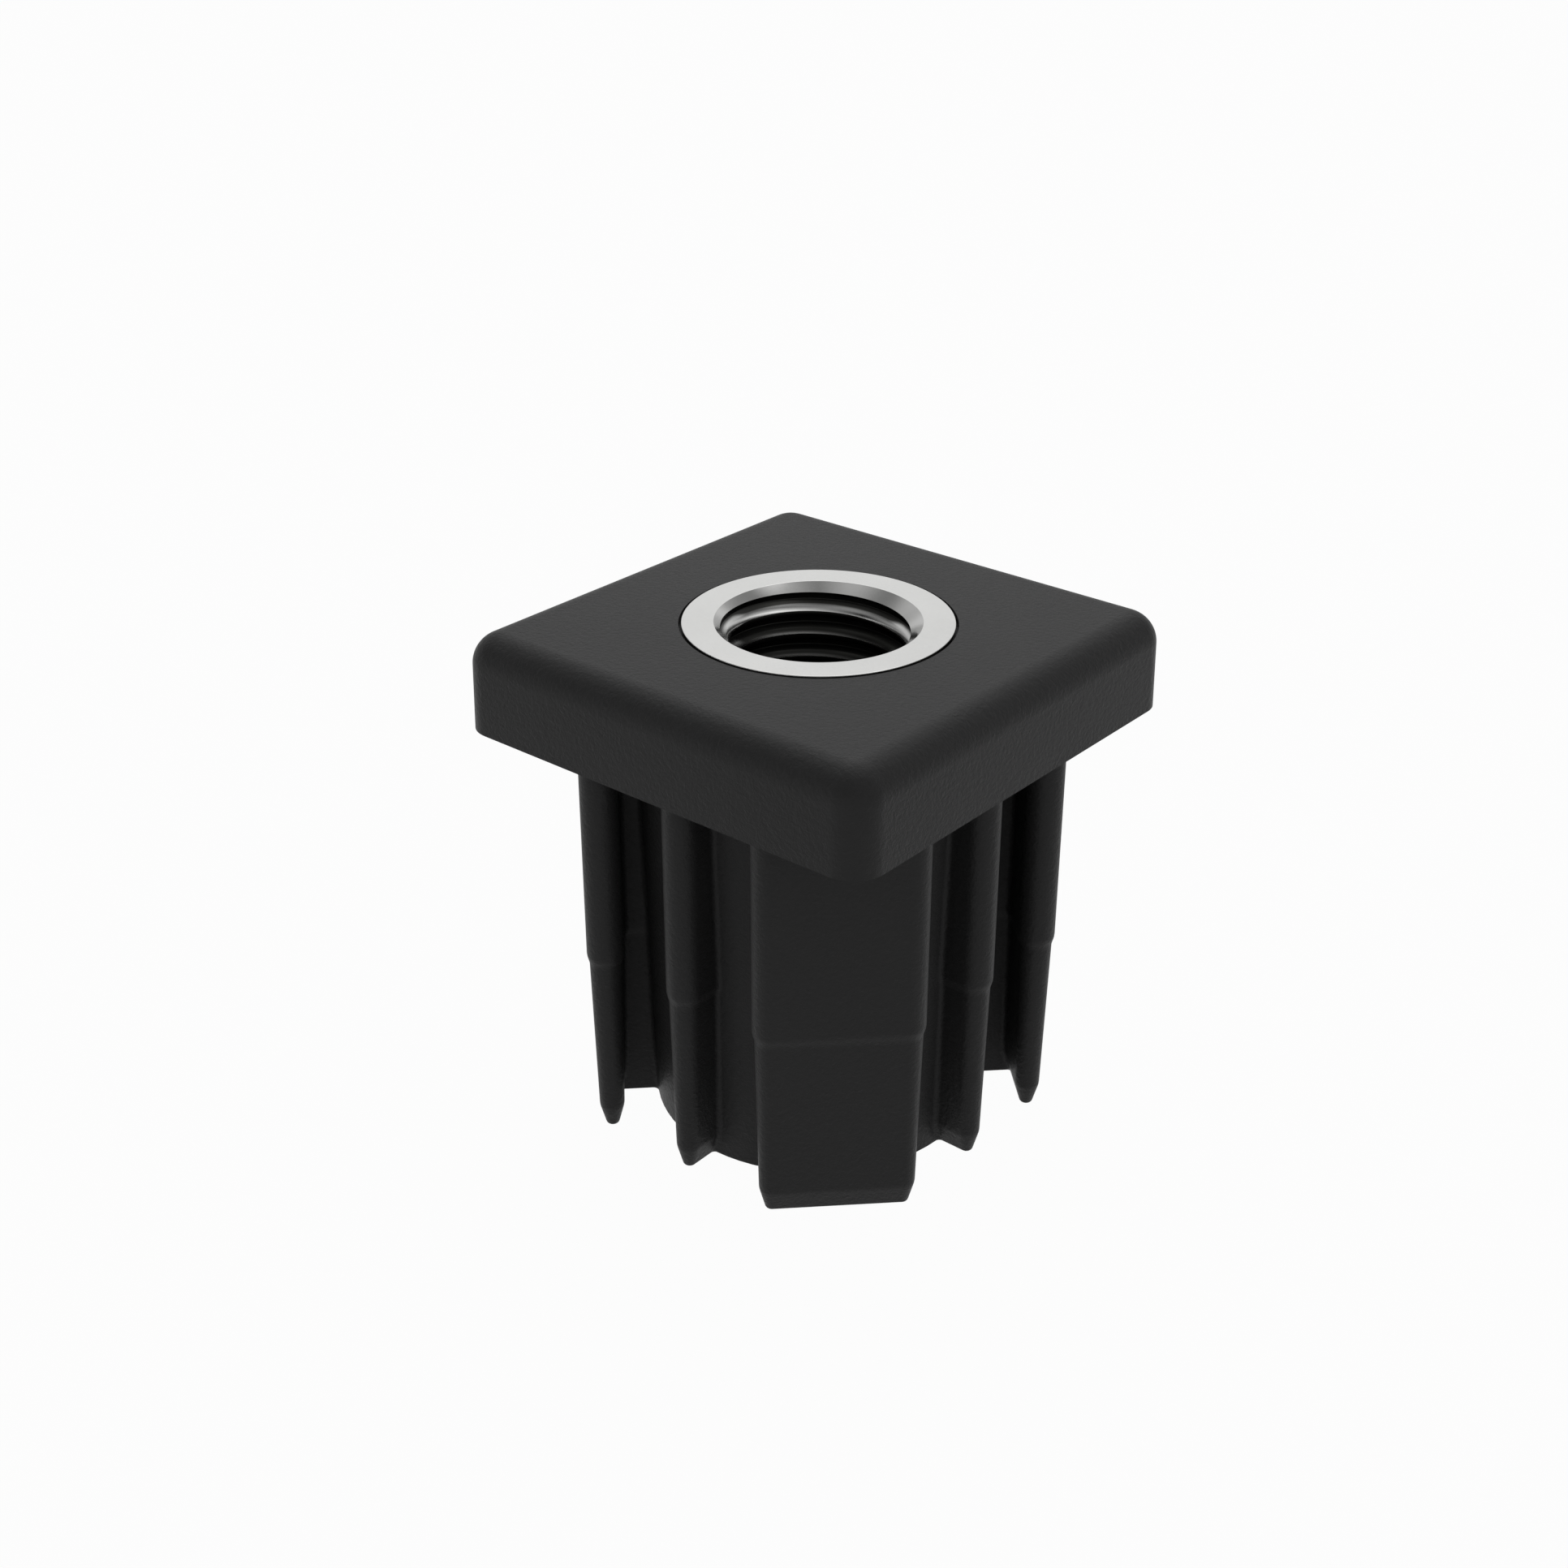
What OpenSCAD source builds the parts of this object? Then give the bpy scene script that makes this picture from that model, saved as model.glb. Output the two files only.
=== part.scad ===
// Threaded insert for the end of a square tube: a moulded body with a square head and
// a ribbed shank, and a threaded steel bush moulded into it.
// The origin is at the middle of the head's underside, where the end of the tube seats.
// The thread's axis is Z and the head is above the origin.

/* [Head] */
// Width of the square head, the same as the tube's
head_w = 40; // [38:0.5:50]
// Height of the head above the end of the tube
head_h = 8; // [6:0.5:12]
// Radius of the head's four upright corners at the tube
corner_r = 2.7; // [2:0.1:4]
// Radius of the rounding along the head's top edges
edge_r = 2.55; // [1:0.05:2.8]
// Draft of the head's sides, in degrees
head_draft = 1; // [0:0.25:2]

/* [Shank] */
// Length of the shank below the head
shank_l = 35; // [32:1:50]
// Radius of the hub where it meets the head
hub_r = 14.6; // [14:0.1:16]
// Draft of the hub, in degrees
hub_draft = 1.5; // [0.5:0.25:2]
// Radius of the clearance hole for the screw's end, below the bush
clearance_r = 8.5; // [8.3:0.1:10]
// Chamfer round the clearance hole's lower mouth
clearance_chamfer = 0.8; // [0.3:0.1:1.5]

/* [Ribs] */
// Thickness of every rib in the gripping stretch under the head
rib_t = 3.06; // [2.6:0.02:3.6]
// Distance from the axis to the middle of a side fin's round nose
fin_reach = 16.21; // [15.8:0.01:18]
// Distance from the axis to the middle of a corner plate
plate_reach = 17.66; // [17:0.01:20]
// Length of a corner plate between the middles of its round ends
plate_l = 10.4; // [8:0.1:12]
// Height of the gripping stretch, down to the step
grip_l = 18.3; // [12:0.1:22]
// Height of the slope at the step
step_l = 0.7; // [0.4:0.1:2]
// How far each rib face steps in there
step_in = 0.2; // [0.1:0.05:0.4]
// Draft of the rib faces below the step, in degrees
rib_draft = 1.2; // [0.5:0.1:1.5]
// Height of the lead-in at the ribs' lower ends
lead_l = 2; // [1:0.1:3]
// Slope of the lead-in, in degrees
lead_angle = 15; // [8:1:18]
// Radius of the rounding at the ribs' tips
tip_r = 0.35; // [0.2:0.05:0.4]
// Thickness of the corner webs at their lower end, where they have no lead-in
web_foot_t = 1; // [0.6:0.1:2]

/* [Bush] */
// Radius of the bush
bush_r = 10.75; // [10:0.05:11.5]
// Length of the bush
bush_l = 25; // [20:1:30]
// How far the bush stands above the head
bush_proud = 0.1; // [0:0.05:0.5]
// Width of the open gap round the bush at the head's top face
gap_w = 0.22; // [0.1:0.02:0.4]
// Depth of that gap
gap_depth = 0.6; // [0.3:0.1:1.5]
// Radius of the thread's bore at its crests
thread_minor_r = 6.9175; // [6.5:0.0005:7.5]
// Radius of the chamfer at the thread's upper mouth
mouth_r = 8.22; // [8:0.02:8.6]
// Radius of the chamfer at the thread's lower mouth
foot_mouth_r = 8; // [7.6:0.1:8.6]
// Depth of each anchoring groove round the bush
groove_depth = 1; // [0.5:0.1:1.5]
// Height of each anchoring groove
groove_h = 2.5; // [1.5:0.1:3]
// Height of the land below the lower groove, and of the one between the grooves
land_h = 4; // [2:0.5:5]
// Distance across the two flats that keep the bush from turning
flats_w = 19; // [18:0.5:20.5]
// Height of the flats, up from the bush's lower end
flats_h = 5; // [3:0.5:7]

/* [Hidden] */
plastic = [0.15, 0.15, 0.155];
steel = [0.78, 0.78, 0.77];
// How far one solid reaches into another, or a cut past a face
over = 1;
// Facets of one round rib end, one upright corner of the head, the rounding along the
// head's top edges and the rounding at a rib's tip
end_facets = 12;
corner_facets = 8;
edge_facets = 8;
tip_facets = 3;
// Half thickness of a rib at each height where its profile bends
grip_half = rib_t / 2;
step_half = grip_half - step_in;
lead_z = -shank_l + lead_l;
step_z = -grip_l - step_l;
lead_half = step_half - (step_z - lead_z) * tan(rib_draft);
foot_half = lead_half - lead_l * tan(lead_angle);
// The tip's rounding is tangent to the lead-in and to the flat end
tip_sweep = 90 - lead_angle;
tip_x = foot_half + tip_r * (tan(lead_angle) - 1 / cos(lead_angle));
// Levels of a rib from the top down, each a height and a half thickness
RIB_LEVELS = concat(
    [[over, grip_half], [-grip_l, grip_half], [step_z, step_half], [lead_z, lead_half]],
    [for (i = [0:tip_facets]) let (a = lead_angle + i / tip_facets * tip_sweep)
        [-shank_l + tip_r - tip_r * sin(a), tip_x + tip_r * cos(a)]]);
WEB_LEVELS = [
    [over, grip_half], [-grip_l, grip_half], [step_z, step_half], [-shank_l, web_foot_t / 2]];
// The head is a square drawn out by a radius that shrinks with the draft and the rounding
head_core = head_w / 2 - corner_r;
head_lean = (head_h - edge_r) * tan(head_draft);
side_top_r = corner_r - head_lean;
round_r = min(edge_r, side_top_r - 0.01);
HEAD_LEVELS = concat(
    [for (i = [0:edge_facets]) let (a = 90 - i / edge_facets * 90)
        [head_h - round_r + round_r * sin(a), side_top_r - round_r + round_r * cos(a)]],
    [[0, corner_r]]);
hub_foot_r = hub_r - shank_l * tan(hub_draft);
// Where the ribs begin, deep enough in the hub for their round inner ends to be buried
rib_root = hub_foot_r - 3 * rib_t;
bush_top = head_h + bush_proud;
bush_foot = bush_top - bush_l;
mouth_depth = mouth_r - thread_minor_r;
foot_mouth_depth = foot_mouth_r - thread_minor_r;
// Heights of the two anchoring grooves' lower sides
LOW_GROOVE_Z = bush_foot + flats_h + land_h;
GROOVE_FEET = [LOW_GROOVE_Z, LOW_GROOVE_Z + groove_h + land_h];

// One level of a loft: round corners of radius r about each point of a convex core
function level_ring(core, r, z, facets) =
    let (turn = 360 / len(core))
    [for (i = [0:len(core) - 1])
        let (aim = atan2(core[i].y, core[i].x))
        for (k = [0:facets])
            let (a = aim - turn / 2 + k / facets * turn)
            [core[i].x + r * cos(a), core[i].y + r * sin(a), z]];

// A solid through levels of height and radius, listed from the top down, round a core
module drafted_post(core, levels, facets) {
    per = len(core) * (facets + 1);
    last = len(levels) - 1;
    rings = [for (v = levels) each level_ring(core, v[1], v[0], facets)];
    sides = [for (j = [0:last - 1]) for (k = [0:per - 1])
        let (n = (k + 1) % per)
        [j * per + k, j * per + n, (j + 1) * per + n, (j + 1) * per + k]];
    lid = [for (k = [per - 1:-1:0]) k];
    foot = [for (k = [0:per - 1]) last * per + k];
    polyhedron(points = rings, faces = concat([lid], sides, [foot]));
}

// A wall of the shank whose middle line runs along X between two places
module rib(from, to, levels) {
    half = (to - from) / 2;
    translate([from + half, 0, 0])
        drafted_post([[half, 0], [-half, 0]], levels, end_facets);
}

module head() {
    c = head_core;
    drafted_post([[c, c], [-c, c], [-c, -c], [c, -c]], HEAD_LEVELS, corner_facets);
}

module side_fin() {
    rib(rib_root, fin_reach, RIB_LEVELS);
}

// A web along the diagonal with a flat plate across its end
module corner_rib() {
    rib(rib_root, plate_reach, WEB_LEVELS);
    translate([plate_reach, 0, 0])
        rotate(90)
            rib(-plate_l / 2, plate_l / 2, RIB_LEVELS);
}

module shank() {
    translate([0, 0, -shank_l])
        cylinder(h = shank_l + over, r1 = hub_foot_r, r2 = hub_r + over * tan(hub_draft));
    for (turn = [0:90:270]) {
        rotate(turn) side_fin();
        rotate(turn + 45) corner_rib();
    }
}

// Outline of the turned bush from its axis outwards, with two grooves for the plastic
function bush_outline() = concat(
    [[0, bush_foot], [bush_r, bush_foot]],
    [for (z = GROOVE_FEET) each [
        [bush_r, z],
        [bush_r - groove_depth, z],
        [bush_r - groove_depth, z + groove_h],
        [bush_r, z + groove_h]]],
    [[bush_r, bush_top], [0, bush_top]]);

// The solid bush without its bore, which is also the space that it fills in the body
module bush_blank() {
    difference() {
        rotate_extrude() polygon(bush_outline());
        for (side = [-1, 1])
            translate([side * (flats_w / 2 + bush_r), 0, bush_foot + flats_h / 2 - over / 2])
                cube([2 * bush_r, 4 * bush_r, flats_h + over], center = true);
    }
}

module moulded_body() {
    color(plastic)
        difference() {
            union() {
                head();
                shank();
            }
            bush_blank();
            translate([0, 0, head_h - gap_depth])
                cylinder(h = gap_depth + over, r = bush_r + gap_w);
            translate([0, 0, -shank_l - over])
                cylinder(h = shank_l + bush_foot + 2 * over, r = clearance_r);
            translate([0, 0, -shank_l - over])
                cylinder(h = clearance_chamfer + over, r1 = clearance_r + clearance_chamfer + over,
                    r2 = clearance_r);
        }
}

module threaded_bush() {
    color(steel)
        difference() {
            bush_blank();
            translate([0, 0, bush_foot - over])
                cylinder(h = bush_l + 2 * over, r = thread_minor_r);
            translate([0, 0, bush_top - mouth_depth])
                cylinder(h = mouth_depth + over, r1 = thread_minor_r, r2 = mouth_r + over);
            translate([0, 0, bush_foot - over])
                cylinder(h = foot_mouth_depth + over, r1 = foot_mouth_r + over,
                    r2 = thread_minor_r);
        }
}

moulded_body();
threaded_bush();
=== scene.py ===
"""Threaded tube insert, dressed for rendering: moulded body, threaded bush and a plain stage.

Lengths are in metres. The origin is at the middle of the head's underside. Z is the thread's axis.
"""
from math import atan2, cos, hypot, pi, radians, sin, sqrt, tan

import bmesh
import bpy
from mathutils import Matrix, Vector
from mathutils.kdtree import KDTree


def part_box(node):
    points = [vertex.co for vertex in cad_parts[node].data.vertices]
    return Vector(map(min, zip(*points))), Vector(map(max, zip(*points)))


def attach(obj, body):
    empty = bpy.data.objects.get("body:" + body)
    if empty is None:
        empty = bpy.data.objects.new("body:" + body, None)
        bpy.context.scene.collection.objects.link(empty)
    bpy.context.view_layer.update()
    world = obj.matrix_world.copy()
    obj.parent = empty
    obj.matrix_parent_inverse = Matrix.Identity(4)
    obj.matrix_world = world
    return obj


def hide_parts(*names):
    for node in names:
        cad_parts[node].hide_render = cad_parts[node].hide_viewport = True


bl_info = {
    "name": "Threaded tube insert",
    "version": (1, 0, 0),
    "blender": (4, 5, 0),
    "location": "3D View > Sidebar > Tube insert",
    "description": "Models and finishes a threaded insert for the end of a square tube",
    "category": "Object",
}

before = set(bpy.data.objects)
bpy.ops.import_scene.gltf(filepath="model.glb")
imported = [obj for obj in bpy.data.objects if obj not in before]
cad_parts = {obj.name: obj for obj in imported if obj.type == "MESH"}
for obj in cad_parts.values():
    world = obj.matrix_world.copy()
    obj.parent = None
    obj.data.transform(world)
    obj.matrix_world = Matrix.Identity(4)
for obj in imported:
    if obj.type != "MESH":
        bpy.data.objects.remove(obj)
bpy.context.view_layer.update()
BODY_LOW, BODY_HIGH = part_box("moulded_body")
BUSH_LOW, BUSH_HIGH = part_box("threaded_bush")
MM = 0.001

TURN_STEPS = 192    # Facets round a turned shape
THREAD_STEPS = 120  # Facets in one turn of the thread
CREST_HEIGHT, CREST_TURN = 5.98 * MM, 130  # The first crest's height at a direction in degrees

# Painted shade in the thread's grooves: a dark colour and its roughness. A layer begins at one
# radius or height and is full at the next
GROOVE_SHADE_COLOUR, GROOVE_SHADE_ROUGHNESS = (0.03, 0.03, 0.028, 1), 0.3
GROOVE_SHADE_BEGINS, GROOVE_SHADE_FULL = 0.12 * MM, 0.42 * MM   # Depth into the groove from the crests
# Painted shade over the turns below the first: it fades in between these two heights, up to this
# share
DEEP_SHADE_HEIGHTS, DEEP_SHADE_SHARE = (5.3 * MM, 4.5 * MM), 0.5
DEEP_SHADE_RISE = 0.3 * MM                          # How much nearer the crests the painted shade begins down there
# Two sides of the first turn, in this direction and past this reach across, which the painted shade
# leaves lit
LIT_SIDES_TURN, LIT_SIDES_REACH = radians(40), (5.6 * MM, 6.9 * MM)
LIT_SIDES_DEPTH = 0.32 * MM                       # How much deeper the painted shade begins at those lit sides

FLOOR_SIZE, FLOOR_DROP = 6, 0.02 * MM
FLOOR_PAINT, FLOOR_GLOW_SHARE = 0.31, 0.97

# The studio's walls of light: heights in degrees, each with levels for six sectors round the
# horizon. The middle of the first sector lies 10 degrees past -X, counterclockwise
SECTOR_START = -200
STUDIO_WALLS = (
    (6, (1.0, 1.72, 1.07, 0.0, 0.4, 0.66)),
    (17, (0.27, 0.0, 0.64, 1.66, 0.75, 1.09)),
    (28, (0.52, 0.0, 0.43, 0.79, 0.33, 1.11)),
    (46, (0.24, 0.34, 0.28, 0.24, 0.28, 2.75)),
    (66, (0.7, 0.62, 0.28, 0.61, 2.12, 2.49)),
    (85, (0.63, 0.53, 0.3, 0.21, 0.62, 0.82)),
)


def length(name, description, size_mm):
    """A length that the user sees in scene units."""
    return bpy.props.FloatProperty(
        name=name, description=description, default=size_mm * MM, min=0, precision=5, unit="LENGTH")


def slope(name, description, degrees):
    return bpy.props.FloatProperty(
        name=name, description=description, default=radians(degrees), subtype="ANGLE")


def colour(name, description, value):
    return bpy.props.FloatVectorProperty(
        name=name, description=description, default=value, size=3, min=0, max=1, subtype="COLOR")


class HeadSizes(bpy.types.PropertyGroup):
    """Sizes of the square head that closes the tube's end."""
    width: length("Width", "Width across the flat sides", (BODY_HIGH[0] - BODY_LOW[0]) / MM)
    height: length("Height", "Height above the end of the tube", BODY_HIGH[2] / MM)
    corner_radius: length("Corner radius", "Radius of the upright corners", 2.68)
    edge_radius: length("Edge radius", "Radius of the rounding along the top edges", 2.55)
    draft: slope("Draft", "Lean of the sides", 1.0)


class ShankSizes(bpy.types.PropertyGroup):
    """Sizes of the hub and its ribs."""
    length: length("Length", "Length below the head", -BODY_LOW[2] / MM)
    hub_radius: length("Hub radius", "Radius of the hub at the head", 14.6)
    hub_draft: slope("Hub draft", "Lean of the hub's wall", 1.5)
    rib_thickness: length("Rib thickness", "Thickness of the ribs where they grip the tube", 3.06)
    fin_reach: length("Fin reach", "From the axis to the middle of a side fin's nose", 16.21)
    plate_reach: length("Plate reach", "From the axis to the middle of a corner plate", 17.66)
    plate_length: length("Plate length", "Between the middles of a corner plate's round ends", 10.4)
    grip_length: length("Grip length", "Height of the gripping stretch", 18.3)
    step_height: length("Step height", "Height of the slope below the gripping stretch", 0.7)
    step_depth: length("Step depth", "How far a rib face steps in there", 0.2)
    rib_draft: slope("Rib draft", "Lean of the rib faces below the step", 1.2)
    lead_height: length("Lead-in height", "Height of the lead-in at the ribs' feet", 2.0)
    lead_slope: slope("Lead-in slope", "Lean of the lead-in", 15.0)
    tip_radius: length("Tip radius", "Rounding at the ribs' feet", 0.35)
    web_foot: length("Web foot", "Thickness of the corner webs at their feet", 1.0)
    fillet: length("Fillet", "Radius in the corners between ribs and hub", 0.5)
    root_fillet: length("Root fillet", "Radius in the corner under the head", 0.2)
    bore_radius: length("Bore radius", "Radius of the clearance hole below the bush", 8.5)


class BushSizes(bpy.types.PropertyGroup):
    """Sizes of the threaded bush."""
    radius: length("Radius", "Outer radius", BUSH_HIGH[0] / MM)
    top: length("Top", "Height of its upper face", BUSH_HIGH[2] / MM)
    foot: bpy.props.FloatProperty(
        name="Foot", description="Height of its lower face", default=BUSH_LOW[2], unit="LENGTH")
    edge_break: length("Edge break", "Rounding of the outer edge", 0.06)
    mouth_edge: length("Mouth edge", "Rounding of the edge between the face and the chamfer", 0.05)
    gap: length("Gap", "Width of the open gap round the bush", 0.22)
    gap_depth: length("Gap depth", "Depth of that gap", 0.6)
    thread_minor: length("Minor radius", "Radius of the bore at the thread's crests", 6.9175)
    thread_major: length("Major radius", "Radius at the thread's roots", 7.72)
    crest_radius: length("Crest radius", "Rounding of the thread's crests", 1.0)
    root_fillet: length("Root fillet", "Radius in the corners of the thread's roots", 0.06)
    pitch: length("Pitch", "Rise of the thread in one turn", 2.0)
    mouth_radius: length("Mouth radius", "Radius of the chamfer at the upper face", 8.22)
    foot_mouth_radius: length("Foot mouth radius", "Radius of the chamfer at the lower face", 8.0)


class FinishColours(bpy.types.PropertyGroup):
    """Colours of the finishes."""
    plastic: colour("Plastic", "Black plastic", (0.0247, 0.0247, 0.0249))
    steel: colour("Steel", "Satin steel", (0.56, 0.56, 0.55))
    floor: colour("Floor", "Floor of the stage", (1.0, 1.0, 1.0))


# Modelling helpers


def select_only(*pieces):
    """Leaves nothing but these pieces selected, the first one active."""
    bpy.ops.object.select_all(action="DESELECT")
    for piece in pieces:
        piece.select_set(True)
    bpy.context.view_layer.objects.active = pieces[0]


def named(name):
    """Names the active object and its mesh."""
    piece = bpy.context.object
    piece.name = piece.data.name = name
    return piece


def pick(kind, test):
    """Selects the parts of the mesh in edit mode, of one kind, whose corners pass a test."""
    bpy.ops.mesh.select_mode(type=kind)
    bpy.ops.mesh.select_all(action="DESELECT")
    mesh = bmesh.from_edit_mesh(bpy.context.edit_object.data)
    items = {"VERT": mesh.verts, "EDGE": mesh.edges, "FACE": mesh.faces}[kind]
    for item in items:
        corners = [item.co] if kind == "VERT" else [v.co for v in item.verts]
        if test(corners):
            item.select_set(True)
    bmesh.update_edit_mesh(bpy.context.edit_object.data)


def closed_up():
    """Merges doubles of the mesh in edit mode, turns its faces outwards and leaves edit mode."""
    bpy.ops.mesh.select_all(action="SELECT")
    bpy.ops.mesh.remove_doubles(threshold=0.0005 * MM)
    bpy.ops.mesh.normals_make_consistent(inside=False)
    bpy.ops.object.mode_set(mode="OBJECT")


def combine(piece, tool, operation="DIFFERENCE"):
    """Cuts a tool out of a piece, or joins it on, and removes the tool."""
    select_only(piece)
    bpy.ops.object.modifier_add(type="BOOLEAN")
    cut = piece.modifiers[-1]
    cut.operation, cut.object, cut.solver = operation, tool, "EXACT"
    bpy.ops.object.modifier_apply(modifier=cut.name)
    bpy.data.objects.remove(tool)


def drawn(name, profile):
    """Draws a line from point to point of radii and heights, and stays in edit mode."""
    bpy.ops.object.select_all(action="DESELECT")
    bpy.ops.mesh.primitive_plane_add(size=MM)
    piece = named(name)
    bpy.ops.object.mode_set(mode="EDIT")
    bpy.ops.mesh.select_mode(type="VERT")
    bpy.ops.mesh.select_all(action="SELECT")
    bpy.ops.mesh.merge(type="CENTER")
    here = Vector((0, 0, 0))
    for i, (r, z) in enumerate(profile):
        step = Vector((r, 0, z)) - here
        here += step
        if i == 0:
            bpy.ops.transform.translate(value=step)
        else:
            bpy.ops.mesh.extrude_region_move(TRANSFORM_OT_translate={"value": step})
    bpy.ops.mesh.select_all(action="SELECT")
    return piece


def turned(name, profile, steps):
    """Spins a drawn outline round the axis, as on a lathe."""
    piece = drawn(name, profile)
    bpy.ops.mesh.spin(steps=steps, angle=2 * pi, center=(0, 0, 0), axis=(0, 0, 1))
    closed_up()
    return piece


def finished(piece, angle=30):
    """Smooth shading that keeps flat faces flat and crisp edges crisp."""
    select_only(piece)
    bpy.ops.object.shade_smooth_by_angle(angle=radians(angle))
    bpy.ops.object.modifier_add(type="WEIGHTED_NORMAL")
    weigh = piece.modifiers[-1]
    weigh.keep_sharp = True
    bpy.ops.object.modifier_apply(modifier=weigh.name)


# Outline of the shank


def arc(cx, cy, r, start, end, steps):
    """Points of an arc from one angle in degrees to another, both ends included."""
    turns = [radians(start + (end - start) * i / steps) for i in range(steps + 1)]
    return [(cx + r * cos(a), cy + r * sin(a)) for a in turns]


def rotated(points, degrees):
    c, s = cos(radians(degrees)), sin(radians(degrees))
    return [(c * x - s * y, s * x + c * y) for x, y in points]


def rib_foot(half, hub, fillet):
    """Where the fillet of a rib along X touches the rib, and the direction of its middle."""
    middle_x = sqrt((hub + fillet) ** 2 - (half + fillet) ** 2)
    return middle_x, atan2(half + fillet, middle_x) * 180 / pi


def eighth(s, half, web, hub, fillet):
    """The outline from a fin's nose, at angle 0, to the middle of a corner plate, at 45 degrees."""
    x, turn = rib_foot(half, hub, fillet)
    points = arc(s.fin_reach, 0, half, 0, 90, 10)
    points += arc(x, half + fillet, fillet, -90, turn - 180, 6)
    web_x, web_turn = rib_foot(web, hub, fillet)
    points += arc(0, 0, hub, turn, 45 - web_turn, 8)[1:-1]
    corner = arc(web_x, -web - fillet, fillet, 180 - web_turn, 90, 6)
    inner = s.plate_reach - half
    corner += arc(inner - fillet, -web - fillet, fillet, 90, 0, 6)
    corner += arc(s.plate_reach, -s.plate_length / 2, half, 180, 360, 16)
    corner += [(s.plate_reach + half, 0)]
    return points + rotated(corner, 45)


def outline(s, half, web, hub, fillet):
    """The whole outline of the shank at one height."""
    part = eighth(s, half, web, hub, fillet)
    quarter = part + [(y, x) for x, y in part[-2:0:-1]]
    return [p for turn in range(4) for p in rotated(quarter, 90 * turn)]


def on_slopes(bends, z):
    """Value at a height on a line through bends, each a height and a value, from the top down."""
    for (z1, v1), (z2, v2) in zip(bends, bends[1:]):
        if z >= z2 or z2 == bends[-1][0]:
            return v1 + (v2 - v1) * min(1.5, (z1 - z) / (z1 - z2))
    return bends[-1][1]


def eased(bends, z, reach):
    """The same value with the bends softened over a short height."""
    spots = [z + reach * (i - 4) / 4 for i in range(9)]
    return sum(on_slopes(bends, spot) for spot in spots) / len(spots)


def shank_levels(s):
    """Heights down the shank with the half thicknesses, the hub's radius and the fillet there."""
    grip = s.rib_thickness / 2
    step_z = -s.grip_length - s.step_height
    lead_z = -s.length + s.lead_height
    step = grip - s.step_depth
    lead = step - (step_z - lead_z) * tan(s.rib_draft)
    foot = lead - s.lead_height * tan(s.lead_slope)
    above = 1 * MM
    rib = [(above, grip), (-s.grip_length, grip), (step_z, step), (lead_z, lead), (-s.length, foot)]
    web = [(above, grip), (-s.grip_length, grip), (step_z, step), (-s.length, s.web_foot / 2)]
    ease = 0.22 * MM
    levels = []

    def add(z, half=None, more=0.0):
        hub = s.hub_radius + z * tan(s.hub_draft)
        half = eased(rib, z, ease) if half is None else half
        levels.append((z, half + more, eased(web, z, ease) + more, hub + more, s.fillet - more))

    r = s.root_fillet
    add(above, grip, r)
    for turn in range(0, 91, 18):
        add(-r * (1 - cos(radians(turn))), grip, r * (1 - sin(radians(turn))))
    for bend in (-s.grip_length, step_z, lead_z):
        for i in range(-3, 4):
            add(bend + ease * i / -2.5)
    tip = s.tip_radius
    tip_half = foot + tip * (tan(s.lead_slope) - 1 / cos(s.lead_slope))
    for i in range(6):
        a = s.lead_slope + i / 5 * (pi / 2 - s.lead_slope)
        add(-s.length + tip - tip * sin(a), tip_half + tip * cos(a))
    return levels


def place(before, after, z):
    """Moves the selected vertices, which stand on one outline, onto the next one."""
    mesh = bmesh.from_edit_mesh(bpy.context.edit_object.data)
    finder = KDTree(len(before))
    for i, (x, y) in enumerate(before):
        finder.insert((x, y, 0), i)
    finder.balance()
    for v in mesh.verts:
        if v.select:
            x, y = after[finder.find((v.co.x, v.co.y, 0))[1]]
            v.co = (x, y, z)
    bmesh.update_edit_mesh(bpy.context.edit_object.data)


def ribbed_shank(s):
    """A disc extruded downwards, put onto the shank's outline at each height."""
    levels = shank_levels(s)
    rings = [outline(s, *level[1:]) for level in levels]
    count = len(rings[0])
    bpy.ops.object.select_all(action="DESELECT")
    bpy.ops.mesh.primitive_circle_add(vertices=count, radius=s.hub_radius, fill_type="NGON")
    piece = named("shank")
    circle = [tuple(v.co[:2]) for v in piece.data.vertices]
    start = min(range(count), key=lambda i: hypot(circle[i][0] - s.hub_radius, circle[i][1]))
    way = 1 if circle[(start + 1) % count][1] > 0 else -1
    circle = [circle[(start + way * i) % count] for i in range(count)]
    bpy.ops.object.mode_set(mode="EDIT")
    bpy.ops.mesh.select_mode(type="FACE")
    bpy.ops.mesh.select_all(action="SELECT")
    place(circle, rings[0], levels[0][0])
    for (before, after), (above, here) in zip(zip(rings, rings[1:]), zip(levels, levels[1:])):
        bpy.ops.mesh.extrude_region_move(
            TRANSFORM_OT_translate={"value": (0, 0, here[0] - above[0])})
        place(before, after, here[0])
    closed_up()
    return piece


def square_head(s):
    """A cube whose top is drawn in, with bevelled upright corners and top edges."""
    bpy.ops.object.select_all(action="DESELECT")
    bpy.ops.mesh.primitive_cube_add(size=1, location=(0, 0, s.height / 2),
                                    scale=(s.width, s.width, s.height))
    piece = named("head")
    bpy.ops.object.transform_apply(location=True, rotation=True, scale=True)
    bpy.ops.object.mode_set(mode="EDIT")
    pick("FACE", lambda c: all(p.z > s.height / 2 for p in c))
    top = 1 - 2 * s.height * tan(s.draft) / s.width
    bpy.ops.transform.resize(value=(top, top, 1), center_override=(0, 0, s.height))
    pick("EDGE", lambda c: abs(c[0].z - c[1].z) > s.height / 2)
    bpy.ops.mesh.bevel(offset=s.corner_radius, segments=14, affect="EDGES")
    pick("EDGE", lambda c: min(c[0].z, c[1].z) > s.height - 0.001 * MM)
    bpy.ops.mesh.bevel(offset=s.edge_radius, segments=14, affect="EDGES")
    closed_up()
    return piece


# The bush's shapes


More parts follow.
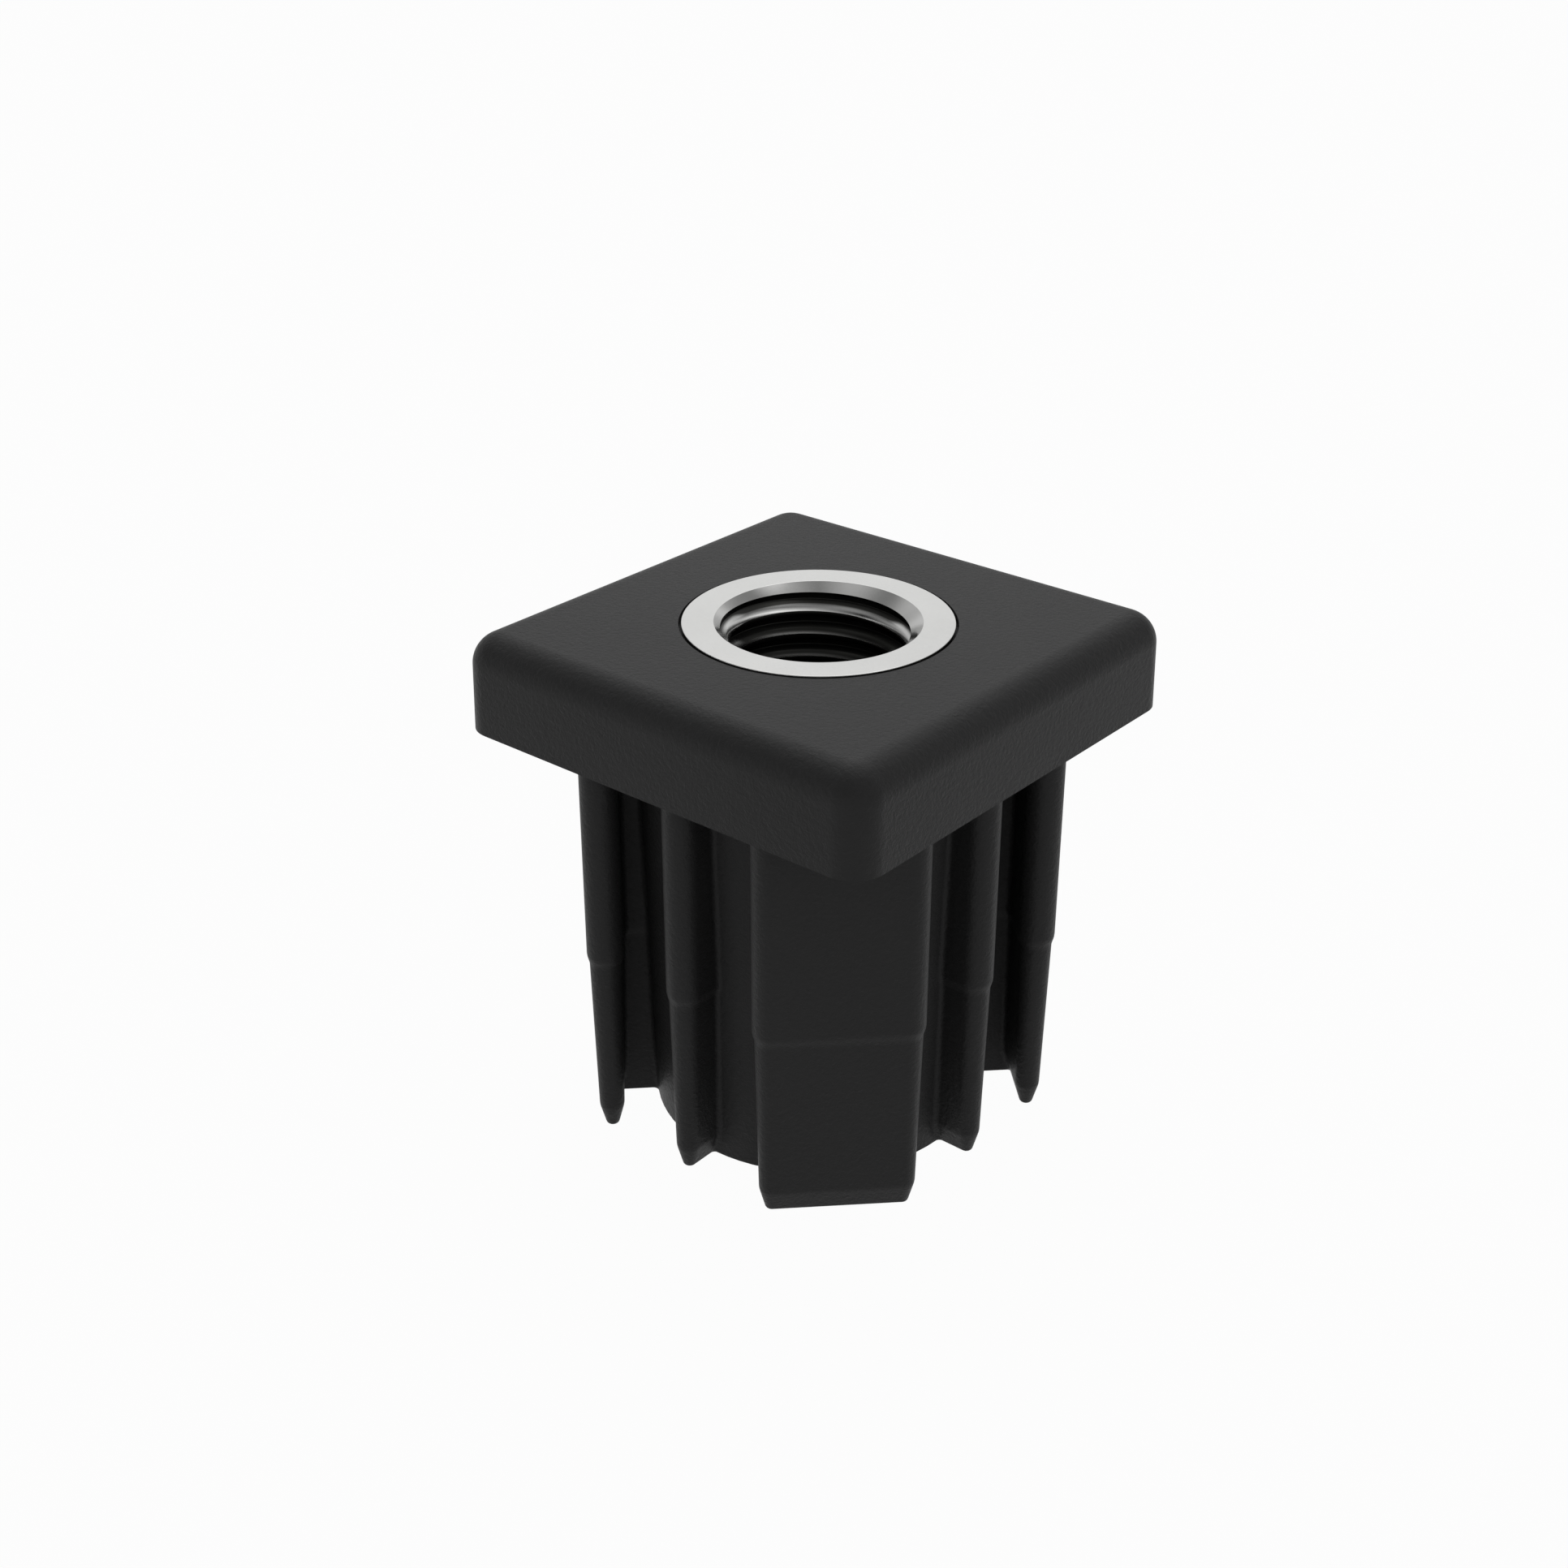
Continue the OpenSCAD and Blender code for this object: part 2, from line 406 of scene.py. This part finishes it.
def bush_blank(b, chamfered):
    """The turned bush before it is tapped, with two grooves for the plastic and two flats."""
    r, low, top = b.radius, b.foot, b.top
    groove, land, flats, deep = 2.5 * MM, 4 * MM, 5 * MM, 1 * MM
    feet = [low + flats + land, low + flats + land + groove + land]
    profile = [(r, low)]
    for z in feet:
        profile += [(r, z), (r - deep, z), (r - deep, z + groove), (r, z + groove)]
    if chamfered:
        e, minor = b.edge_break, b.thread_minor
        up, down = b.mouth_radius - minor, b.foot_mouth_radius - minor
        profile = [(0, low + down), (minor, low + down), (b.foot_mouth_radius, low)] + profile
        profile += arc(r - e, top - e, e, 0, 90, 4)
        profile += fillet_points((b.mouth_radius, top), 45, 90, -b.mouth_edge)[::-1]
        profile += [(minor, top - up), (0, top - up)]
    else:
        profile = [(0, low)] + profile + [(r, top), (0, top)]
    piece = turned("bush_blank", profile, TURN_STEPS)
    width = 19 * MM
    for side in (-1, 1):
        bpy.ops.object.select_all(action="DESELECT")
        bpy.ops.mesh.primitive_cube_add(
            size=1, location=(side * (width / 2 + r), 0, low + flats / 2 - MM / 2),
            scale=(2 * r, 4 * r, flats + MM))
        combine(piece, bpy.context.object)
    return piece


def thread_profile(b):
    """One turn of the thread's surface, from the sharp lower edge of a crest up to the next one."""
    r, root, p = b.thread_minor, b.thread_major, b.pitch
    deep, soft = root - r, b.crest_radius
    crest_start, crest_end, crest_step = 16, 55, 6
    upper_flank, lower_flank, root_share = 56, -45, 0.39
    profile = [(r + soft * (cos(radians(crest_start)) - cos(radians(a))),
                soft * (sin(radians(a)) - sin(radians(crest_start))))
               for a in range(crest_start, crest_end, crest_step)]
    profile += fillet_points((root, root_share * p), upper_flank, 0, b.root_fillet)
    profile += fillet_points((root, p - deep), 0, lower_flank, b.root_fillet)
    return profile + [(r, p)]


def fillet_points(corner, before, after, e):
    """A rounded inner corner of the bore, between walls that face up by two angles in degrees."""
    turn = radians(before - after) / 2
    middle = radians((before + after) / 2)
    cx = corner[0] - e / cos(turn) * cos(middle)
    cz = corner[1] + e / cos(turn) * sin(middle)
    steps = [radians(before + (after - before) * i / 4) for i in range(5)]
    return [(cx + e * cos(a), cz - e * sin(a)) for a in steps]


def thread_tap(b, start_z):
    """The helical solid that cuts the thread: the groove's section swept up round the axis."""
    piece = drawn("thread_tap", [(r, z + start_z) for r, z in thread_profile(b)])
    bpy.ops.object.mode_set(mode="OBJECT")
    bpy.ops.object.modifier_add(type="SCREW")
    sweep = piece.modifiers[-1]
    sweep.axis, sweep.angle, sweep.screw_offset = "Z", 2 * pi, b.pitch
    sweep.iterations = int((b.top - b.foot) / b.pitch) + 5
    sweep.steps = sweep.render_steps = THREAD_STEPS
    sweep.use_merge_vertices = True
    sweep.merge_threshold = 0.001 * MM
    bpy.ops.object.modifier_apply(modifier=sweep.name)
    bpy.ops.object.mode_set(mode="EDIT")
    bpy.ops.mesh.select_all(action="SELECT")
    bpy.ops.mesh.remove_doubles(threshold=0.002 * MM)
    bpy.ops.mesh.select_all(action="DESELECT")
    bpy.ops.mesh.select_mode(type="EDGE")
    bpy.ops.mesh.select_non_manifold()
    bpy.ops.mesh.edge_face_add()
    closed_up()
    return piece


# Finishes


def node(tree, kind, place=(0, 0), **values):
    """Adds a shader node; values are its settings, or its inputs where no setting has the name."""
    made = tree.nodes.new(kind)
    made.location = place
    for key, value in values.items():
        if hasattr(made, key):
            setattr(made, key, value)
        else:
            made.inputs[key.replace("_", " ")].default_value = value
    return made


def new_group(name, inputs, outputs):
    """A node group with float inputs, and outputs of the kinds given."""
    group = bpy.data.node_groups.new(name, "ShaderNodeTree")
    for socket, value in inputs.items():
        made = group.interface.new_socket(
            name=socket, in_out="INPUT", socket_type="NodeSocketFloat")
        made.default_value = value
    for socket, kind in outputs.items():
        group.interface.new_socket(name=socket, in_out="OUTPUT", socket_type=kind)
    return group, group.nodes.new("NodeGroupInput"), group.nodes.new("NodeGroupOutput")


def maths(tree, operation, *values):
    """The result of a sum on sockets and numbers."""
    made = node(tree, "ShaderNodeMath", operation=operation)
    for i, value in enumerate(values):
        if isinstance(value, (int, float)):
            made.inputs[i].default_value = value
        else:
            tree.links.new(value, made.inputs[i])
    return made.outputs[0]


def grain_group():
    """Surface grain: worms of one size over a finer stipple, as a bumped normal and a mask."""
    cloud_scale, finer_by, grain_share = 160, 3.7, 0.6
    group, inside, outside = new_group(
        "Surface grain",
        {"Size": 2000.0, "Swirl": 0.5, "Depth": 0.00002, "Fine": 0.3},
        {"Normal": "NodeSocketVector", "Mask": "NodeSocketFloat"})
    link = group.links.new
    where = node(group, "ShaderNodeTexCoord")
    clouds = node(group, "ShaderNodeTexNoise", Detail=2.0, Roughness=0.5, Scale=cloud_scale)
    coarse = node(group, "ShaderNodeTexNoise", Detail=2.0, Roughness=0.5)
    fine = node(group, "ShaderNodeTexNoise", Detail=2.0, Roughness=0.6)
    for texture in (coarse, fine, clouds):
        link(where.outputs["Object"], texture.inputs["Vector"])
    link(inside.outputs["Size"], coarse.inputs["Scale"])
    link(inside.outputs["Swirl"], coarse.inputs["Distortion"])
    link(maths(group, "MULTIPLY", inside.outputs["Size"], finer_by), fine.inputs["Scale"])
    blend = node(group, "ShaderNodeMix", data_type="FLOAT")
    link(inside.outputs["Fine"], blend.inputs["Factor"])
    link(coarse.outputs["Fac"], blend.inputs["A"])
    link(fine.outputs["Fac"], blend.inputs["B"])
    bump = node(group, "ShaderNodeBump", Strength=1.0)
    link(inside.outputs["Depth"], bump.inputs["Distance"])
    link(blend.outputs["Result"], bump.inputs["Height"])
    link(bump.outputs["Normal"], outside.inputs["Normal"])
    spots = node(group, "ShaderNodeMix", data_type="FLOAT", Factor=grain_share)
    link(clouds.outputs["Fac"], spots.inputs["A"])
    link(blend.outputs["Result"], spots.inputs["B"])
    link(spots.outputs["Result"], outside.inputs["Mask"])
    return group


def finish_of(name, group, values, low, high, rough_low, rough_high, **shader):
    """A material whose colour and roughness drift between two values, with a grained normal."""
    material = bpy.data.materials.new(name)
    material.use_nodes = True
    tree = material.node_tree
    link = tree.links.new
    surface = tree.nodes["Principled BSDF"]
    for key, value in shader.items():
        surface.inputs[key.replace("_", " ")].default_value = value
    grain = node(tree, "ShaderNodeGroup", (-500, 0))
    grain.node_tree = group
    for key, value in values.items():
        grain.inputs[key].default_value = value
    drift = node(tree, "ShaderNodeMix", (-250, 200), data_type="RGBA")
    drift.inputs["A"].default_value = (*low, 1)
    drift.inputs["B"].default_value = (*high, 1)
    rough = node(tree, "ShaderNodeMapRange", (-250, -100), From_Min=0.3, From_Max=0.7,
                 To_Min=rough_low, To_Max=rough_high)
    link(grain.outputs["Mask"], drift.inputs["Factor"])
    link(grain.outputs["Mask"], rough.inputs["Value"])
    link(drift.outputs["Result"], surface.inputs["Base Color"])
    link(rough.outputs["Result"], surface.inputs["Roughness"])
    link(grain.outputs["Normal"], surface.inputs["Normal"])
    return material


def shade(value, factor):
    return tuple(min(1.0, c * factor) for c in value)


def black_plastic():
    tone = bpy.context.scene.finish_colours.plastic
    return finish_of(
        "Grained black plastic", grain(),
        {"Size": 2600.0, "Swirl": 0.6, "Depth": 0.00009, "Fine": 0.3},
        shade(tone, 0.85), shade(tone, 1.15), 0.44, 0.48, Specular_IOR_Level=0.12)


def satin_steel():
    tone = bpy.context.scene.finish_colours.steel
    steel = finish_of(
        "Satin steel", grain(), {"Size": 5500.0, "Swirl": 0.0, "Depth": 0.000003, "Fine": 0.4},
        shade(tone, 0.88), shade(tone, 1.12), 0.15, 0.19, Metallic=1.0)
    paint_groove_shade(steel)
    return steel


def faded(tree, value, start, end):
    """A soft step of a value, from none at the start to full at the end."""
    ramp = node(tree, "ShaderNodeMapRange", interpolation_type="SMOOTHSTEP",
                From_Min=start, From_Max=end)
    tree.links.new(value, ramp.inputs["Value"])
    return ramp.outputs["Result"]


def paint_groove_shade(steel):
    """Painted shade: a dark colour in the thread's grooves, kept off its crests and the chamfer.

    Two sides of the first turn are kept clear of it deeper down, and a thin layer of painted shade
    lies over the turns below it.
    """
    b = bpy.context.scene.bush_sizes
    tree = steel.node_tree
    link = tree.links.new
    surface = tree.nodes["Principled BSDF"]
    where = node(tree, "ShaderNodeTexCoord").outputs["Object"]
    parts = node(tree, "ShaderNodeSeparateXYZ")
    flat = node(tree, "ShaderNodeCombineXYZ")
    span = node(tree, "ShaderNodeVectorMath", operation="LENGTH")
    across = node(tree, "ShaderNodeVectorMath", operation="DOT_PRODUCT")
    across.inputs[1].default_value = (cos(LIT_SIDES_TURN), sin(LIT_SIDES_TURN), 0)
    link(where, parts.inputs[0])
    link(where, across.inputs[0])
    link(parts.outputs["X"], flat.inputs["X"])
    link(parts.outputs["Y"], flat.inputs["Y"])
    link(flat.outputs[0], span.inputs[0])
    radius, height = span.outputs["Value"], parts.outputs["Z"]
    # Painted shade: the steel is painted darker nearer the groove roots and deeper in the bore, and
    # less at two lit sides
    deep = faded(tree, height, *DEEP_SHADE_HEIGHTS)
    lit_sides = faded(tree, maths(tree, "ABSOLUTE", across.outputs["Value"]), *LIT_SIDES_REACH)
    level = maths(tree, "MULTIPLY_ADD", lit_sides, -LIT_SIDES_DEPTH, radius)
    level = maths(tree, "MULTIPLY_ADD", deep, DEEP_SHADE_RISE, level)
    roots = faded(tree, level, b.thread_minor + GROOVE_SHADE_BEGINS, b.thread_minor + GROOVE_SHADE_FULL)
    painted_shade = maths(tree, "MAXIMUM", maths(tree, "MULTIPLY", deep, DEEP_SHADE_SHARE), roots)
    # The upper face, the outside and the chamfer get no painted shade
    cone = b.mouth_radius - b.top
    past_cone = maths(tree, "SUBTRACT", radius, height)
    for edge in (faded(tree, radius, b.thread_major + 0.2 * MM, b.thread_major + 0.1 * MM),
                 faded(tree, past_cone, cone + 0.04 * MM, cone + 0.1 * MM)):
        painted_shade = maths(tree, "MULTIPLY", painted_shade, edge)
    for socket, kind, value in (("Base Color", "RGBA", GROOVE_SHADE_COLOUR),
                                ("Roughness", "FLOAT", GROOVE_SHADE_ROUGHNESS)):
        without_painted_shade = surface.inputs[socket].links[0].from_socket
        mixed = node(tree, "ShaderNodeMix", data_type=kind)
        mixed.inputs["B"].default_value = value
        link(painted_shade, mixed.inputs["Factor"])
        link(without_painted_shade, mixed.inputs["A"])
        link(mixed.outputs["Result"], surface.inputs[socket])


def grain():
    """The shared grain group, built the first time it is asked for."""
    return bpy.data.node_groups.get("Surface grain") or grain_group()


def dress(piece, material, replaced):
    """Gives a piece its finish and ties it to the frame."""
    piece.data.materials.clear()
    piece.data.materials.append(material)
    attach(piece, "root")
    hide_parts(replaced)


# Operators


class INSERT_OT_body(bpy.types.Operator):
    """Models the moulded body with its head, hub and ribs"""
    bl_idname = "insert.moulded_body"
    bl_label = "Moulded body"

    def execute(self, context):
        s, b = context.scene.shank_sizes, context.scene.bush_sizes
        head = context.scene.head_sizes
        body = square_head(head)
        combine(body, ribbed_shank(s), "UNION")
        combine(body, bush_blank(b, chamfered=False))
        open_top = [(0, head.height - b.gap_depth), (b.radius + b.gap, head.height - b.gap_depth),
                    (b.radius + b.gap, head.height + MM), (0, head.height + MM)]
        combine(body, turned("gap", open_top, TURN_STEPS))
        r, low, chamfer = s.bore_radius, -s.length, 0.8 * MM
        hole = [(0, low - MM), (r + chamfer + MM, low - MM), (r, low + chamfer),
                (r, b.foot + MM), (0, b.foot + MM)]
        combine(body, turned("hole", hole, TURN_STEPS))
        body.name = body.data.name = "grained_body"
        finished(body)
        dress(body, black_plastic(), "moulded_body")
        return {"FINISHED"}


class INSERT_OT_bush(bpy.types.Operator):
    """Models the threaded bush"""
    bl_idname = "insert.threaded_bush"
    bl_label = "Threaded bush"

    def execute(self, context):
        b = context.scene.bush_sizes
        bush = bush_blank(b, chamfered=True)
        crest_z = CREST_HEIGHT - b.pitch * CREST_TURN / 360
        turns_below = int((crest_z - b.foot) / b.pitch) + 2
        start_z = crest_z - b.pitch * turns_below
        combine(bush, thread_tap(b, start_z))
        bush.name = bush.data.name = "turned_bush"
        finished(bush, 25)
        dress(bush, satin_steel(), "threaded_bush")
        return {"FINISHED"}


class INSERT_OT_stage(bpy.types.Operator):
    """Sets up the floor, the light and the camera"""
    bl_idname = "insert.stage"
    bl_label = "Stage"

    def execute(self, context):
        self.floor(context)
        self.world(context)
        self.camera(context)
        context.scene.view_settings.view_transform = "Standard"
        return {"FINISHED"}

    def floor(self, context):
        """A floor that glows white where it is seen, with a painted shadow under the hub, and
        lights the part as a grey one does.
        """
        bpy.ops.object.select_all(action="DESELECT")
        bpy.ops.mesh.primitive_grid_add(x_subdivisions=8, y_subdivisions=8, size=FLOOR_SIZE)
        floor = named("floor")
        bpy.ops.object.mode_set(mode="EDIT")
        bpy.ops.mesh.select_all(action="SELECT")
        bpy.ops.transform.translate(value=(0, 0, BODY_LOW[2] - FLOOR_DROP))
        bpy.ops.object.mode_set(mode="OBJECT")
        material = bpy.data.materials.new("White floor")
        material.use_nodes = True
        tree = material.node_tree
        tree.nodes.clear()
        link = tree.links.new
        tone = (*context.scene.finish_colours.floor, 1)
        shank = context.scene.shank_sizes
        # The floor glows only outside the circle that the hub stands on; inside it the floor is a
        # painted shadow. The two radii are measured from the origin, slantwise, since the object's
        # coordinates start there
        hub_foot = shank.hub_radius - shank.length * tan(shank.hub_draft)
        dark, white = (hypot(hub_foot - inside * MM, shank.length) for inside in (1.6, 0.4))
        paint = node(tree, "ShaderNodeBsdfDiffuse", Color=(*[FLOOR_PAINT] * 3, 1))
        glow = node(tree, "ShaderNodeEmission", Color=tone, Strength=1.0)
        path = node(tree, "ShaderNodeLightPath").outputs
        where = node(tree, "ShaderNodeTexCoord")
        apart = node(tree, "ShaderNodeVectorMath", operation="LENGTH")
        # Painted shadow: no glow inside the hub's circle, fading to full glow outside it
        under = node(tree, "ShaderNodeMapRange", From_Min=dark, From_Max=white)
        link(where.outputs["Object"], apart.inputs[0])
        link(apart.outputs["Value"], under.inputs["Value"])
        seen = maths(tree, "MAXIMUM", path["Is Camera Ray"], path["Is Glossy Ray"])
        seen = maths(tree, "MAXIMUM", seen, path["Is Transmission Ray"])
        seen = maths(tree, "MULTIPLY", seen, under.outputs["Result"])
        mix = node(tree, "ShaderNodeMixShader")
        out = node(tree, "ShaderNodeOutputMaterial")
        link(maths(tree, "MULTIPLY", seen, FLOOR_GLOW_SHARE), mix.inputs["Fac"])
        link(paint.outputs[0], mix.inputs[1])
        link(glow.outputs[0], mix.inputs[2])
        link(mix.outputs[0], out.inputs["Surface"])
        floor.data.materials.append(material)

    def world(self, context):
        """Walls of light round the object, from tables of levels by height and direction."""
        world = context.scene.world or bpy.data.worlds.new("Studio")
        context.scene.world = world
        world.use_nodes = True
        tree = world.node_tree
        tree.nodes.clear()
        link = tree.links.new
        where = node(tree, "ShaderNodeTexCoord")
        parts = node(tree, "ShaderNodeSeparateXYZ")
        turn = node(tree, "ShaderNodeMapRange", clamp=False,
                    From_Min=radians(SECTOR_START), From_Max=radians(SECTOR_START + 360))
        link(where.outputs["Generated"], parts.inputs[0])
        x, y, z = parts.outputs
        link(maths(tree, "ARCTAN2", y, x), turn.inputs["Value"])
        around = maths(tree, "FRACT", turn.outputs["Result"])
        height = maths(tree, "ARCSINE", z)
        light = None
        for row, (high, levels) in enumerate(STUDIO_WALLS):
            ramp = node(tree, "ShaderNodeValToRGB")
            link(around, ramp.inputs["Fac"])
            stops = ramp.color_ramp.elements
            seam = (levels[-1] + levels[0]) / 2
            stops[0].color = stops[1].color = (seam, seam, seam, 1)
            for i, level in enumerate(levels):
                stops.new((i + 0.5) / len(levels)).color = (level, level, level, 1)
            if light is None:
                light = ramp.outputs["Color"]
            else:
                rise = node(tree, "ShaderNodeMapRange", interpolation_type="SMOOTHSTEP",
                            From_Min=radians(STUDIO_WALLS[row - 1][0]), From_Max=radians(high))
                link(height, rise.inputs["Value"])
                blend = node(tree, "ShaderNodeMix", data_type="RGBA")
                link(rise.outputs["Result"], blend.inputs["Factor"])
                link(light, blend.inputs["A"])
                link(ramp.outputs["Color"], blend.inputs["B"])
                light = blend.outputs["Result"]
        path = node(tree, "ShaderNodeLightPath").outputs
        white = node(tree, "ShaderNodeMix", data_type="RGBA")
        white.inputs["B"].default_value = (1, 1, 1, 1)
        shine = node(tree, "ShaderNodeBackground", Strength=1.0)
        out = node(tree, "ShaderNodeOutputWorld")
        link(maths(tree, "MAXIMUM", path["Is Camera Ray"], path["Is Transmission Ray"]),
             white.inputs["Factor"])
        link(light, white.inputs["A"])
        link(white.outputs["Result"], shine.inputs["Color"])
        link(shine.outputs[0], out.inputs["Surface"])

    def camera(self, context):
        """The camera, with its tilt below the horizon and its turn in degrees."""
        lens = bpy.data.cameras.new("camera")
        lens.sensor_width, lens.lens = 36.0, 49.087
        lens.clip_start, lens.clip_end = 0.005, 20
        tilt, turn = 27.11, 40.05
        holder = bpy.data.objects.new("camera", lens)
        context.collection.objects.link(holder)
        holder.location = (0.09749, -0.12017, 0.07288)
        holder.rotation_euler = (radians(90 - tilt), 0, radians(turn))
        context.scene.camera = holder


class INSERT_PT_panel(bpy.types.Panel):
    """Lists the steps and the sizes"""
    bl_idname = "INSERT_PT_panel"
    bl_label = "Tube insert"
    bl_space_type = "VIEW_3D"
    bl_region_type = "UI"
    bl_category = "Tube insert"

    def draw(self, context):
        for kind in OPERATORS:
            self.layout.operator(kind.bl_idname)
        for name in SETTINGS:
            group = getattr(context.scene, name)
            box = self.layout.box()
            box.label(text=name.replace("_", " ").capitalize())
            for prop in group.bl_rna.properties:
                if not prop.is_readonly and prop.identifier != "name":
                    box.prop(group, prop.identifier)


SETTINGS = {
    "head_sizes": HeadSizes, "shank_sizes": ShankSizes, "bush_sizes": BushSizes,
    "finish_colours": FinishColours}
OPERATORS = (INSERT_OT_body, INSERT_OT_bush, INSERT_OT_stage)


def register():
    for kind in (*SETTINGS.values(), *OPERATORS, INSERT_PT_panel):
        bpy.utils.register_class(kind)
    for name, kind in SETTINGS.items():
        setattr(bpy.types.Scene, name, bpy.props.PointerProperty(type=kind))


def unregister():
    for name in SETTINGS:
        delattr(bpy.types.Scene, name)
    for kind in (INSERT_PT_panel, *reversed(OPERATORS), *reversed(SETTINGS.values())):
        bpy.utils.unregister_class(kind)


def main():
    register()
    bpy.ops.insert.moulded_body()
    bpy.ops.insert.threaded_bush()
    bpy.ops.insert.stage()


if __name__ == "__main__":
    main()
